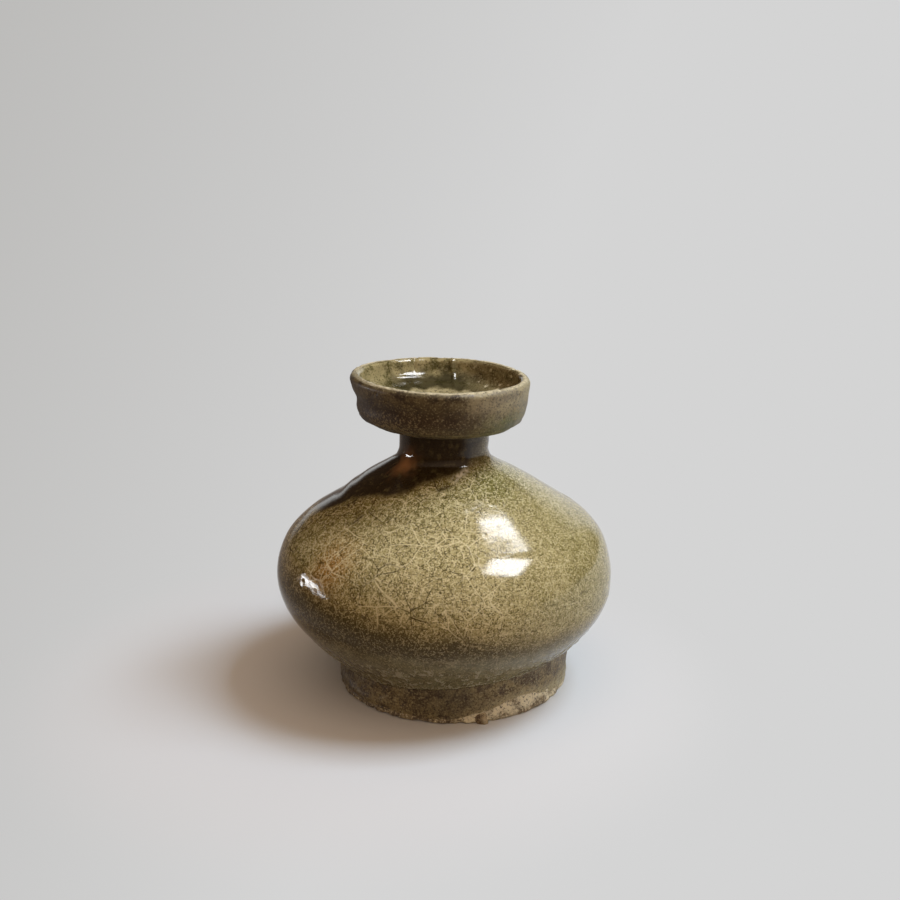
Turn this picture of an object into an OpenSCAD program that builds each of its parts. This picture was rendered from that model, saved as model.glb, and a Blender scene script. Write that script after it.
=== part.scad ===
// Squat oil bottle in crackled celadon stoneware.
// Thrown sections are luted together with slip, coated with glaze and stand on a foot ring.
// Millimetres, +Z up. The origin lies on the table, under the axis of the belly.

/* [Body] */
// Diameter of the clay body across the belly
belly_d = 84.6; // [80:0.2:90]
// Height of the widest line above the table
belly_z = 30; // [28:0.5:33]
// Radius of the rounded belly in section
belly_round = 17.2; // [15:0.1:19]
// Slope of the straight shoulder, from the horizontal
shoulder_slope = 33; // [31:0.5:36]
// Slope of the straight lower wall, from the horizontal
lower_slope = 47; // [45:0.5:49]
// Thickness of the thrown wall
body_wall = 4; // [3:0.1:5]
// Thickness of the floor inside the foot ring
floor_t = 4.5; // [3.5:0.1:6]

/* [Foot] */
// Diameter of the foot ring at the table
foot_d = 58.5; // [54:0.5:61]
// Width of the foot ring at the table
foot_wall = 5; // [4:0.1:7]
// Depth of the recess from the table to the base
recess_depth = 5; // [4.5:0.1:6]
// Outward lean of the foot's outer face, from the vertical
foot_flare = 2; // [0:0.5:6]
// Width of the worn edge where the foot meets the table
foot_edge = 0.6; // [0.4:0.1:1.2]
// Distance that the foot sits off the belly's axis
foot_shift = 2.4; // [0:0.1:3]

/* [Neck] */
// Outer diameter of the neck
neck_d = 21.6; // [20:0.2:24]
// Diameter of the bore that oil is poured through
bore_d = 11; // [9:0.2:12]
// Radius of the hollow curve between the shoulder and the neck
neck_fillet = 4.4; // [3:0.1:5]
// Length of straight neck above that curve
neck_straight = 4.6; // [3:0.1:6]
// Diameter of the neck piece where it is luted to the shoulder
skirt_d = 32; // [30:0.5:36]

/* [Mouth] */
// Outer diameter of the dish at its lip
mouth_d = 43.5; // [41:0.1:47]
// Height of the dish from its seat to the top of its lip
mouth_h = 12.7; // [12:0.1:15]
// Outward lean of the dish wall, from the vertical
mouth_flare = 8; // [5:0.5:12]
// Slope of the underside, from the horizontal
under_slope = 20; // [17:0.5:24]
// Radius of the corner between the underside and the wall
corner_round = 3.6; // [2.5:0.1:4.5]
// Radius of the same corner inside the dish
well_round = 4.5; // [3.5:0.1:5.5]
// Thickness of the dish wall
mouth_wall = 1.8; // [1.6:0.1:2.6]
// Thickness of the dish floor
mouth_floor = 5.2; // [4:0.1:6]
// Lean of the dish towards +X
mouth_tilt = 1.9; // [0:0.1:3]
// Distance that the dish sits off the neck's axis, towards -X
mouth_shift = 1; // [0:0.1:1.4]
// Room between the neck bore and the hole in the dish
hole_clear = 0.5; // [0.3:0.1:0.8]

/* [Joints and glaze] */
// Thickness of the slip in each luted joint
slip_t = 0.4; // [0.3:0.05:0.6]
// Slope of the belly joint across the wall
seam_bevel = 25; // [10:1:35]
// Thickness of the glaze
glaze_t = 0.4; // [0.3:0.05:0.6]
// Height of the bare band at the bottom of the foot
foot_bare = 2.5; // [1.5:0.1:4]

/* [Kiln grit] */
// Diameter of the crumb of grit fired onto the foot's edge
grit_d = 3.2; // [2.4:0.1:4]
// Bearing of the crumb round the foot, from +X
grit_bearing = 283; // [0:1:359]

/* [Hidden] */
$fn = 96;

clay = [0.62, 0.56, 0.46];
slip = [0.52, 0.47, 0.38];
glaze = [0.55, 0.52, 0.36];
grit = [0.45, 0.38, 0.30];

// Larger than the bottle, for slices and half spaces
far = 200;
// Angle between neighbouring points of an arc in section
arc_step = 5;
// Overlap that keeps a cut clear of the face that it starts from
over = 1;

// Belly: an arc about belly_core, with a flank square to each of these two directions
belly_core = [belly_d / 2 - belly_round, belly_z];
lower_normal = lower_slope - 90;
shoulder_normal = 90 - shoulder_slope;
floor_z = recess_depth + floor_t;

// Neck: its hollow curve is tangent to the shoulder and to the neck
neck_r = neck_d / 2;
bore_r = bore_d / 2;
shoulder_line = belly_core * facing(shoulder_normal) + belly_round;
fillet_r = neck_r + neck_fillet;
fillet_z = (shoulder_line + neck_fillet - fillet_r * cos(shoulder_normal)) / sin(shoulder_normal);
fillet_core = [fillet_r, fillet_z];
neck_seat_z = (shoulder_line - skirt_d / 2 * cos(shoulder_normal)) / sin(shoulder_normal);
neck_foot_z = neck_seat_z + slip_t;
neck_top_z = fillet_z + neck_straight;

// Mouth: measured from the middle of its own seat
under_normal = under_slope - 90;
wall_normal = -mouth_flare;
seat_r = neck_r + glaze_t + mouth_shift;
lip_r = mouth_wall / 2;
lip_core = [mouth_d / 2 - lip_r, mouth_h - lip_r];
under_line = [seat_r, 0] * facing(under_normal);
wall_line = lip_core * facing(wall_normal) + lip_r;
corner_core = arc_core(corner_round, under_normal, under_line, wall_normal, wall_line);
well_core = arc_core(well_round, under_normal, under_line - mouth_floor, wall_normal, wall_line - mouth_wall);
hole_r = bore_r + mouth_shift + hole_clear;

// Foot: reaches up into the body, which it is cut to fit
foot_r = foot_d / 2;
foot_reach = belly_core.y + belly_round * sin(lower_normal);
foot_top_r = foot_r + foot_reach * tan(foot_flare);

function facing(angle) = [cos(angle), sin(angle)];

function backwards(path) = [for (i = [len(path) - 1:-1:0]) path[i]];

// Arc about core from one angle to another
function arc(core, radius, from, to) =
  let (steps = ceil(abs(to - from) / arc_step))
  [for (i = [0:steps]) core + radius * facing(from + (to - from) * i / steps)];

// Centre of an arc that touches two lines from inside, each given by its normal and its distance
function arc_core(radius, normal_1, line_1, normal_2, line_2) =
  let (turn = sin(normal_2 - normal_1), d1 = line_1 - radius, d2 = line_2 - radius)
  [d1 * sin(normal_2) - d2 * sin(normal_1), d2 * cos(normal_1) - d1 * cos(normal_2)] / turn;

// Point at height z on the straight flank that touches an arc where it faces normal
function flank(core, radius, normal, z) =
  [core.x + radius * cos(normal) - tan(normal) * (z - core.y - radius * sin(normal)), z];

// Height at radius r of the straight flank that touches an arc where it faces normal
function flank_z(core, radius, normal, r) =
  core.y + radius * sin(normal) + (core.x + radius * cos(normal) - r) / tan(normal);

// Outside of the body from its base to the joint with the neck, grown outwards by grow
function body_path(grow) = concat(
  [flank(belly_core, belly_round + grow, lower_normal, recess_depth - grow)],
  arc(belly_core, belly_round + grow, lower_normal, shoulder_normal),
  [flank(belly_core, belly_round + grow, shoulder_normal, neck_seat_z)]
);

// Outside of body and neck, on past the seat of the mouth
function vessel_path(grow) = concat(
  body_path(grow),
  arc(fillet_core, neck_fillet - grow, 180 + shoulder_normal, 180),
  [[neck_r + grow, neck_top_z + neck_d]]
);

// Inside of the body from its floor, and of the neck
function hollow_path() = concat(
  [[0, floor_z], flank(belly_core, belly_round - body_wall, lower_normal, floor_z)],
  arc(belly_core, belly_round - body_wall, lower_normal, shoulder_normal),
  [flank(belly_core, belly_round - body_wall, shoulder_normal, neck_foot_z)],
  [[bore_r, neck_foot_z], [bore_r, neck_top_z + neck_d]]
);

// Dish from the edge of its seat, over the lip and down to its hole
function dish_path(grow) = concat(
  [flank(corner_core, corner_round + grow, under_normal, 0)],
  arc(corner_core, corner_round + grow, under_normal, wall_normal),
  arc(lip_core, lip_r + grow, wall_normal, 180 + wall_normal),
  arc(well_core, well_round - grow, wall_normal, under_normal),
  [[hole_r, flank_z(well_core, well_round - grow, under_normal, hole_r)]]
);

// Outer face of the foot from the table upwards
function foot_path(grow) = [
  [foot_r + grow - foot_edge, 0],
  [foot_r + grow + foot_edge * tan(foot_flare), foot_edge],
  [foot_top_r + grow, foot_reach]
];

// Everything between two heights
module band(z0, z1) {
  translate([0, z0]) square([far, z1 - z0]);
}

// Everything under the bevelled belly joint, which rises towards the axis
module under_seam(rise) {
  axis_z = belly_z + rise + belly_d / 2 * tan(seam_bevel);
  polygon([[0, -far], [far, -far], [far, axis_z - far * tan(seam_bevel)], [0, axis_z]]);
}

// Half section under a path, filled to the axis
module filled(path) {
  polygon(concat([[0, path[0].y]], path, [[0, path[len(path) - 1].y]]));
}

// Half section of the coat between a path and the same path grown outwards
module coat(inner, outer) {
  polygon(concat(outer, backwards(inner)));
}

// The clay wall all the way up, before it is parted at the joints
module wall_section() {
  polygon(concat([[0, recess_depth]], vessel_path(0), backwards(hollow_path())));
}

module foot_section() {
  difference() {
    filled(foot_path(0));
    translate([0, -over]) square([foot_r - foot_wall, far]);
  }
}

// The foot's own axis, beside that of the belly
module at_foot() {
  translate([foot_shift, 0, 0]) children();
}

// The plane of the neck's top, which leans with the mouth
module at_seat() {
  translate([0, 0, neck_top_z]) rotate([0, mouth_tilt, 0]) children();
}

module at_mouth() {
  at_seat() translate([-mouth_shift, 0, slip_t]) children();
}

// Everything above the neck's top, lifted by rise
module above_seat(rise) {
  at_seat() translate([0, 0, rise]) cylinder(h = far, r = far);
}

module foot_ring() {
  color(clay) difference() {
    at_foot() rotate_extrude() foot_section();
    rotate_extrude() filled(body_path(slip_t));
  }
}

module foot_slip() {
  color(slip) intersection() {
    at_foot() rotate_extrude() foot_section();
    rotate_extrude() difference() {
      filled(body_path(slip_t));
      filled(body_path(0));
    }
  }
}

module lower_bowl() {
  color(clay) rotate_extrude() intersection() {
    wall_section();
    under_seam(0);
  }
}

module belly_slip() {
  color(slip) rotate_extrude() intersection() {
    wall_section();
    difference() {
      under_seam(slip_t);
      under_seam(0);
    }
  }
}

module shoulder() {
  color(clay) rotate_extrude() difference() {
    intersection() {
      wall_section();
      band(0, neck_seat_z);
    }
    under_seam(slip_t);
  }
}

module neck_slip() {
  color(slip) rotate_extrude() intersection() {
    wall_section();
    band(neck_seat_z, neck_foot_z);
  }
}

module neck() {
  color(clay) difference() {
    rotate_extrude() intersection() {
      wall_section();
      band(neck_foot_z, far);
    }
    above_seat(0);
  }
}

module mouth_slip() {
  color(slip) intersection() {
    translate([0, 0, fillet_z]) difference() {
      cylinder(h = neck_d, r = neck_r);
      translate([0, 0, -over]) cylinder(h = neck_d + 2 * over, r = bore_r);
    }
    at_seat() cylinder(h = slip_t, r = neck_d);
  }
}

module mouth_dish() {
  color(clay) at_mouth() rotate_extrude() polygon(concat([[hole_r, 0]], dish_path(0)));
}

module body_glaze() {
  color(glaze) difference() {
    rotate_extrude() coat(vessel_path(0), vessel_path(glaze_t));
    at_foot() rotate_extrude() filled(foot_path(0));
    above_seat(slip_t);
  }
}

module mouth_glaze() {
  color(glaze) at_mouth() rotate_extrude() coat(dish_path(0), dish_path(glaze_t));
}

module foot_glaze() {
  color(glaze) difference() {
    at_foot() rotate_extrude() intersection() {
      coat(foot_path(0), foot_path(glaze_t));
      band(foot_bare, far);
    }
    rotate_extrude() filled(body_path(glaze_t));
  }
}

module kiln_grit() {
  color(grit) difference() {
    at_foot() rotate([0, 0, grit_bearing]) translate([foot_r, 0, grit_d / 4]) sphere(d = grit_d);
    at_foot() rotate_extrude() filled(foot_path(0));
    translate([0, 0, -far]) cylinder(h = far, r = far);
  }
}

foot_ring();
foot_slip();
lower_bowl();
belly_slip();
shoulder();
neck_slip();
neck();
mouth_slip();
mouth_dish();
body_glaze();
mouth_glaze();
foot_glaze();
kiln_grit();
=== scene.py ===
import math
from functools import partial

import bmesh
import bpy
from mathutils import Matrix, Vector, noise


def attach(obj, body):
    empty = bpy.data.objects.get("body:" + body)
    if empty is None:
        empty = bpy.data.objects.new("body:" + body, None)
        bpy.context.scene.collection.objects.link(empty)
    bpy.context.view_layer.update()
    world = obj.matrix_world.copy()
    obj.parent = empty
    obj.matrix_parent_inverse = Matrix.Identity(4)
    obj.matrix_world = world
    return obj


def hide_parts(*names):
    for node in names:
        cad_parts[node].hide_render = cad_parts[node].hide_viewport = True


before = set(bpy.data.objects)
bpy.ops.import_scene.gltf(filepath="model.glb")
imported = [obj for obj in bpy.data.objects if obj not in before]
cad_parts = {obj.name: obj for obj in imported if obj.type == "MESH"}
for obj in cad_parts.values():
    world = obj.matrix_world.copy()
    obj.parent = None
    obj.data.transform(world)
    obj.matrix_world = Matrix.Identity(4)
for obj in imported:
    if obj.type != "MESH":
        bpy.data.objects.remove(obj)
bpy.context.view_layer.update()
millimetre = 0.001  # the pot and the camera are in millimetres, the stage and the lights in metres


# Shape helpers: a point of a half section is (radius, height)
def facing(angle):
    turn = math.radians(angle)
    return Vector((math.cos(turn), math.sin(turn)))


def arc(core, radius, start, stop, gap):
    steps = max(1, math.ceil(math.radians(abs(stop - start)) * radius / gap))
    return [core + radius * facing(start + (stop - start) * i / steps) for i in range(steps + 1)]


def evenly(points, gap):  # fills a path up with points no further apart than gap
    path = [points[0]]
    for near, far in zip(points, points[1:]):
        steps = max(1, math.ceil((far - near).length / gap))
        path += [near.lerp(far, i / steps) for i in range(1, steps + 1)]
    return path


def ease(low, high, value):
    t = min(1, max(0, (value - low) / (high - low)))
    return t * t * (3 - 2 * t)


def between(marks, value):  # smooth run through a few (place, amount) marks
    if value <= marks[0][0]:
        return marks[0][1]
    for (low, start), (high, stop) in zip(marks, marks[1:]):
        if value <= high:
            return start + (stop - start) * ease(low, high, value)
    return marks[-1][1]


def hump(distance, width):
    return math.exp(-(distance / width) ** 2)


def wobble(point, size, seed=0):  # soft noise from -1 to 1 with lumps about size wide
    return noise.noise(point / size + Vector((seed, 2 * seed, 3 * seed)))


# Body: a rounded belly between two straight flanks, with a neck on a hollow curve
bodyForm = {
    "bellyRadius": 42.3,
    "bellyHeight": 30,
    "bellyRound": 17.2,
    "shoulderSlope": 33,
    "lowerSlope": 47,
    "wall": 4,
    "baseHeight": 5,
    "floorHeight": 9.5,
    "seamBevel": 25,
    "slip": 0.4,
    "glaze": 0.4,
}
neckForm = {"radius": 10.8, "bore": 5.5, "hollow": 4.4, "straight": 4.6, "skirt": 16}
mouthForm = {
    "radius": 21.75,
    "height": 12.7,
    "flare": 8,
    "underSlope": 20,
    "cornerRound": 3.6,
    "wellRound": 4.5,
    "wall": 1.8,
    "floor": 5.2,
    "tilt": 1.9,
    "shift": 1,
    "clearance": 0.5,
}
footForm = {"radius": 29.25, "wall": 5, "flare": 2, "edge": 0.6, "shift": 2.4, "bare": 2.5}

slip, glaze = bodyForm["slip"], bodyForm["glaze"]
bellyCore = Vector((bodyForm["bellyRadius"] - bodyForm["bellyRound"], bodyForm["bellyHeight"]))
lowerNormal = bodyForm["lowerSlope"] - 90
shoulderNormal = 90 - bodyForm["shoulderSlope"]
innerRound = bodyForm["bellyRound"] - bodyForm["wall"]


def bellyAt(grow):
    return bodyForm["bellyRound"] + grow


def flankRadius(curve, normal, height):
    touch = bellyCore + curve * facing(normal)
    return touch.x - math.tan(math.radians(normal)) * (height - touch.y)


def flankHeight(curve, normal, radius):
    touch = bellyCore + curve * facing(normal)
    return touch.y + (touch.x - radius) / math.tan(math.radians(normal))


neckSeat = flankHeight(bellyAt(0), shoulderNormal, neckForm["skirt"])
neckFoot = neckSeat + slip
hollowCore = Vector((neckForm["radius"] + neckForm["hollow"], 0))
hollowCore.y = flankHeight(bellyAt(neckForm["hollow"]), shoulderNormal, hollowCore.x)
neckTop = hollowCore.y + neckForm["straight"]


def seamAngle(curve, rise):  # where the bevelled belly joint crosses an arc about the belly's core
    bevel = math.radians(bodyForm["seamBevel"])
    reach = (bodyForm["bellyRound"] * math.tan(bevel) + rise) * math.cos(bevel) / curve
    return math.degrees(math.asin(reach) - bevel)


def underside(radius, grow):  # height of the body's base and lower flank, grown by grow
    return max(bodyForm["baseHeight"] - grow, flankHeight(bellyAt(grow), lowerNormal, radius))


# The pot was thrown by hand and its sides differ: every piece takes the same gentle lean,
# given as heights and how far that side stands out there
leanForm = {
    "left": [
        (0, 0.3), (2, 0.1), (5, -0.4), (9, -0.5), (14, 0), (20, -0.2), (30, 0.1), (38, -0.05),
        (44, -0.7), (48.5, -0.95), (52, 0), (54.5, 0.35), (58, -0.1), (61, 0.1), (64, 0),
    ],
    "right": [
        (0, 0), (2, -0.1), (5, -0.35), (9, -0.25), (15, 0.7), (20, 0.42), (25, 0.3), (29, -0.05),
        (34, -0.2), (40, 0.1), (46, 0), (52, 0.2), (54, 0), (57.5, -0.9), (61, -0.3), (64, 0),
    ],
    "middle": [  # front and back
        (0, 0.1), (5, -0.35), (9, -0.35), (16, 0.2), (30, 0), (42, -0.1), (50, 0.4), (57, -0.4), (64, 0),
    ],
    "turn": (0.25, 0.9),  # the middle goes over into the sides between these shares of the radius
    "lump": 26,
    "depth": 0.12,
}


def lean(point):
    flat = Vector((point.x, point.y, 0))
    if flat.length < 1e-6:
        return point
    outward = flat.normalized()
    start, stop = leanForm["turn"]
    left, right = ease(start, stop, -outward.x), ease(start, stop, outward.x)
    shares = {"left": left, "right": right, "middle": 1 - left - right}
    push = sum(share * between(leanForm[side], point.z) for side, share in shares.items())
    around = outward * leanForm["lump"] + Vector((0, 0, point.z))
    push += leanForm["depth"] * wobble(around, leanForm["lump"], 3)
    return point + outward * push * min(1, flat.length / neckForm["radius"])


# Materials
def colour(code):  # sRGB hex to linear values
    parts = [int(code[i:i + 2], 16) / 255 for i in (1, 3, 5)]
    return [c / 12.92 if c <= 0.04045 else ((c + 0.055) / 1.055) ** 2.4 for c in parts] + [1]


def tints(look):
    return {name: colour(code) for name, code in look.items() if isinstance(code, str)}


def addNode(tree, kind, inputs=None, out=0, **settings):  # adds a node, returns one of its outputs
    node = tree.nodes.new("ShaderNode" + kind)
    for name, value in settings.items():
        setattr(node, name, value)
    for socket, value in (inputs or {}).items():
        if isinstance(value, bpy.types.NodeSocket):
            tree.links.new(value, node.inputs[socket])
        else:
            node.inputs[socket].default_value = value
    return node.outputs[out] if node.outputs else None


rgba = {"data_type": "RGBA", "out": 2}  # for a Mix node that mixes colours
soft = {"interpolation_type": "SMOOTHSTEP"}  # for a Map Range node with soft ends


def startNodes(owner):  # empties a material or world, returns what adds its nodes
    owner.use_nodes = True
    owner.node_tree.nodes.clear()
    return partial(addNode, owner.node_tree)


def startMaterial(name):
    material = bpy.data.materials.new(name)
    add = startNodes(material)
    place = add("VectorMath", {0: add("TexCoord", out="Object"), "Scale": 1 / millimetre}, operation="SCALE")
    return material, add, place


# Celadon over grey stoneware, crazed as it cooled: a wet olive glass over a close net of cracks,
# each splinter of its own tone, dark brown on the neck where it ran thick and as painted shadow of the dish
# over the left shoulder, with painted shade below the belly, paler and then sandy towards the foot
celadonLook = {
    "olive": "#7d7443",
    "tan": "#b5a97a",
    "fleck": "#ddd2a8",
    "iron": "#362c13",
    # painted shade below the belly
    "underShade": "#4d441f",
    "ash": "#928f70",
    "moss": "#66651f",
    # painted warm reflection on the left of the belly
    "warmReflection": "#b47a3c",
    "amber": "#b78658",
    # dark brown glaze, and painted shadow of the dish
    "brownAndShadow": "#211105",
    "crust": "#b6af94",
    # pale of the scratches, and of a painted glint at the foot of the neck
    "scrapeAndGlint": "#ece5cd",
    "cell": 2.1,  # width of a cell of the main net
    "cellLine": (0.05, 0.016),  # its lines, as a share of the cell: wider than real cracks, so that they show
    "splinter": 0.34,  # width of the splinters that fill the cells
    "crack": 7,  # distance between the long cracks
    "crackLine": (0.019, 0.008),  # also drawn wider than real ones
    "stroke": 1.7,  # length over which a line of the net stays pale or dark
    "drift": (2.5, 0.25),  # size and reach of the bends in the net
    "sway": (12, 3.0),  # and in the long cracks
    "grain": 0.25,  # specks in the glass
    "bead": 0.5,  # sand of the crust
    "beadRadius": 33.0,  # laid out round the pot at this radius
    "beadRise": 0.8,  # and a little taller than wide
    "cloud": 9,  # soft changes of tone
}
celadonZones = (
    "crazed", "speckled", "washAndShade", "underShade", "ash", "moss", "warmReflection", "amber", "brownAndShadow", "crust", "scrapeAndGlint",
)


def crackledCeladon():
    look, tint = celadonLook, tints(celadonLook)
    material, add, place = startMaterial("crackledCeladon")
    zone = {name: add("Attribute", out="Fac", attribute_name=name) for name in celadonZones}
    size, reach = look["drift"]
    drift = add("TexNoise", {"Vector": place, "Scale": 1 / size, "Detail": 1.0}, out="Color")
    bent = add("VectorMath", {0: drift, 1: [reach] * 3, 2: place}, operation="MULTIPLY_ADD")
    net = add("TexVoronoi", {"Vector": bent, "Scale": 1 / look["cell"]},
              out="Distance", feature="DISTANCE_TO_EDGE")
    splinters = add("TexVoronoi", {"Vector": place, "Scale": 1 / look["splinter"]}, out="Color")
    size, reach = look["sway"]
    sway = add("TexNoise", {"Vector": place, "Scale": 1 / size, "Detail": 0.0}, out="Color")
    wide = add("VectorMath", {0: sway, 1: [reach] * 3, 2: place}, operation="MULTIPLY_ADD")
    long = add("TexVoronoi", {"Vector": wide, "Scale": 1 / look["crack"]},
               out="Distance", feature="DISTANCE_TO_EDGE")
    grain = add("TexNoise", {"Vector": place, "Scale": 1 / look["grain"], "Detail": 2.0, "Roughness": 0.6})
    cloud = add("TexNoise", {"Vector": place, "Scale": 1 / look["cloud"], "Detail": 3.0})
    stroke = add("TexNoise", {"Vector": place, "Scale": 1 / look["stroke"], "Detail": 1.0})

    light, chance = (add("SeparateColor", {0: splinters}, out=part) for part in ("Red", "Green"))
    blend = add("Math", {0: light, 1: 0.75, 2: -0.6}, operation="MULTIPLY_ADD")
    blend = add("Math", {0: cloud, 1: 0.8, 2: blend}, operation="MULTIPLY_ADD")
    blend = add("Math", {0: zone["washAndShade"], 1: 0.55, 2: blend}, operation="MULTIPLY_ADD")
    tone = add("Mix", {0: blend, 6: tint["olive"], 7: tint["tan"]}, **rgba)
    for name in ("moss", "warmReflection", "underShade", "ash"):  # colours under the cracks: a moss stain, a painted warm reflection, painted shade below the belly and a paler grey glaze
        tone = add("Mix", {0: zone[name], 6: tone, 7: tint[name]}, **rgba)
    mixed = add("Math", {0: chance, 1: 0.5, 2: grain}, operation="MULTIPLY_ADD")
    pale = add("MapRange", {0: mixed, 1: 0.86, 2: 0.98, 4: 0.8}, **soft)
    pale = add("Math", {0: pale, 1: zone["speckled"]}, operation="MULTIPLY")
    tone = add("Mix", {0: pale, 6: tone, 7: tint["fleck"]}, **rgba)
    specks = add("MapRange", {0: mixed, 1: 0.64, 2: 0.52, 4: 0.75}, **soft)
    specks = add("Math", {0: specks, 1: zone["speckled"]}, operation="MULTIPLY")
    tone = add("Mix", {0: specks, 6: tone, 7: tint["iron"]}, **rgba)
    clear, full = look["cellLine"]
    lines = add("MapRange", {0: net, 1: clear, 2: full}, **soft)
    lines = add("Math", {0: lines, 1: zone["crazed"]}, operation="MULTIPLY")
    paleLines = add("MapRange", {0: stroke, 1: 0.46, 2: 0.53}, **soft)
    lineTone = add("Mix", {0: paleLines, 6: tint["iron"], 7: tint["fleck"]}, **rgba)
    drawn = add("Math", {0: lines, 1: 0.72}, operation="MULTIPLY")
    tone = add("Mix", {0: drawn, 6: tone, 7: lineTone}, **rgba)
    broken = add("MapRange", {0: cloud, 1: 0.42, 2: 0.5, 4: 0.8}, **soft)
    clear, full = look["crackLine"]
    gashes = add("MapRange", {0: long, 1: clear, 2: full}, **soft)
    for share in (broken, zone["crazed"]):
        gashes = add("Math", {0: gashes, 1: share}, operation="MULTIPLY")
    patches = add("SeparateColor", {0: sway}, out="Red")  # dark in some places and pale in others
    bleached = add("MapRange", {0: patches, 1: 0.5, 2: 0.56}, **soft)
    gashTone = add("Mix", {0: bleached, 6: tint["iron"], 7: tint["fleck"]}, **rgba)
    tone = add("Mix", {0: gashes, 6: tone, 7: gashTone}, **rgba)
    # over the cracks: brown glaze with the dish's painted shadow, the amber patch, and scratches with a
    # painted glint
    for name in ("brownAndShadow", "amber", "scrapeAndGlint"):
        tone = add("Mix", {0: zone[name], 6: tone, 7: tint[name]}, **rgba)
    flat = add("VectorMath", {0: place, 1: (1.0, 1.0, 0.0)}, operation="MULTIPLY")
    flat = add("VectorMath", {0: flat}, operation="NORMALIZE")
    tall = add("VectorMath", {0: place, 1: (0.0, 0.0, look["beadRise"])}, operation="MULTIPLY")
    around = add("VectorMath", {0: flat, 1: [look["beadRadius"]] * 3, 2: tall}, operation="MULTIPLY_ADD")
    beads = add("TexNoise", {"Vector": around, "Scale": 1 / look["bead"], "Detail": 2.0, "Roughness": 0.6})
    sandy = add("Math", {0: zone["crust"], 1: 0.22, 2: beads}, operation="MULTIPLY_ADD")
    sandy = add("MapRange", {0: sandy, 1: 0.59, 2: 0.69, 4: 0.8}, **soft)
    crusted = add("MapRange", {0: zone["crust"], 1: 0.05, 2: 0.3})
    sandy = add("Math", {0: sandy, 1: crusted}, operation="MULTIPLY")
    tone = add("Mix", {0: sandy, 6: tone, 7: tint["crust"]}, **rgba)

    rough = add("MapRange", {0: grain, 1: 0.3, 2: 0.7, 3: 0.05, 4: 0.09})
    rough = add("Math", {0: sandy, 1: 0.5, 2: rough}, operation="MULTIPLY_ADD")
    height = add("Math", {0: lines, 1: -0.5, 2: grain}, operation="MULTIPLY_ADD")
    height = add("Math", {0: gashes, 1: -1.0, 2: height}, operation="MULTIPLY_ADD")
    bump = add("Bump", {"Distance": 0.01 * millimetre, "Height": height})
    shader = add("BsdfPrincipled", {"Base Color": tone, "Roughness": rough, "IOR": 1.5, "Normal": bump})
    add("OutputMaterial", {"Surface": shader})
    return material


# The same glaze on the dish: dulled outside by handling and burial, rubbed to buff along the rim,
# still wet-looking inside; brown at the side away from the light inside and out, partly a stain and partly
# painted shade
wornLook = {
    "olive": "#857a56",
    "shade": "#3a3020",
    "dust": "#a89c7a",
    "inside": "#a5986d",
    "moss": "#57512a",
    "green": "#626b35",
    "buff": "#d2c6a4",
    # brown of the stain and of painted shade
    "stainAndShade": "#382715",
    "wellBackDark": "#23210b",
    "grain": 0.5,  # dust and specks
    "cloud": 4,  # blotches
}
wornZones = ("inner", "worn", "green", "stainAndShade", "wellBackDark", "silt")


def wornCeladon():
    look, tint = wornLook, tints(wornLook)
    material, add, place = startMaterial("wornCeladon")
    grain = add("TexNoise", {"Vector": place, "Scale": 1 / look["grain"], "Detail": 3.0, "Roughness": 0.65})
    cloud = add("TexNoise", {"Vector": place, "Scale": 1 / look["cloud"], "Detail": 5.0, "Roughness": 0.65})
    zone = {name: add("Attribute", out="Fac", attribute_name=name) for name in wornZones}
    blotch = add("MapRange", {0: cloud, 1: 0.34, 2: 0.58}, **soft)
    outside = add("Mix", {0: blotch, 6: tint["shade"], 7: tint["olive"]}, **rgba)
    within = add("Mix", {0: blotch, 6: tint["moss"], 7: tint["inside"]}, **rgba)
    tone = add("Mix", {0: zone["inner"], 6: outside, 7: within}, **rgba)
    dusty = add("Math", {0: zone["silt"], 1: 0.16, 2: grain}, operation="MULTIPLY_ADD")
    dusty = add("MapRange", {0: dusty, 1: 0.54, 2: 0.67, 4: 0.55}, **soft)
    specks = add("MapRange", {0: grain, 1: 0.46, 2: 0.35, 4: 0.75}, **soft)
    cover = (
        (zone["green"], "green"), (zone["stainAndShade"], "stainAndShade"), (dusty, "dust"),
        (zone["wellBackDark"], "wellBackDark"), (zone["worn"], "buff"), (specks, "shade"),
    )
    for share, name in cover:
        tone = add("Mix", {0: share, 6: tone, 7: tint[name]}, **rgba)

    dull = add("MapRange", {0: grain, 1: 0.3, 2: 0.7, 3: 0.3, 4: 0.6})
    rough = add("Mix", {0: zone["inner"], 2: dull, 3: 0.06}, data_type="FLOAT")
    rough = add("Math", {0: zone["worn"], 1: 0.3, 2: rough}, operation="MULTIPLY_ADD")
    rough = add("Math", {0: zone["silt"], 1: 0.25, 2: rough}, operation="MULTIPLY_ADD")
    bump = add("Bump", {"Distance": 0.02 * millimetre, "Height": grain})
    shader = add("BsdfPrincipled", {"Base Color": tone, "Roughness": rough, "IOR": 1.5, "Normal": bump})
    add("OutputMaterial", {"Surface": shader})
    return material


# Grey stoneware fired brown: matt, gritty, specked with iron and rubbed pale in places
stonewareLook = {
    "body": "#8b7a57",
    "dark": "#54412a",
    "pale": "#e8e1c4",
    "iron": "#2c1f12",
    "grain": 0.6,  # grit
    "cloud": 4,  # blotches
    "rough": 0.72,
}
# Celadon starved thin over the foot: the grit shows through a dull sheen
starvedLook = {
    "body": "#8c7e59",
    "dark": "#5a4a30",
    "pale": "#b6ac86",
    "iron": "#282010",
    "grain": 0.5,
    "cloud": 3,
    "rough": 0.34,
}
# Luting slip, the same clay thinned with water: matt, finer and more even
slipLook = {
    "body": "#857860",
    "dark": "#6b5e48",
    "pale": "#9c917a",
    "iron": "#4a3d2c",
    "grain": 0.4,
    "cloud": 4,
    "rough": 0.75,
}
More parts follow.
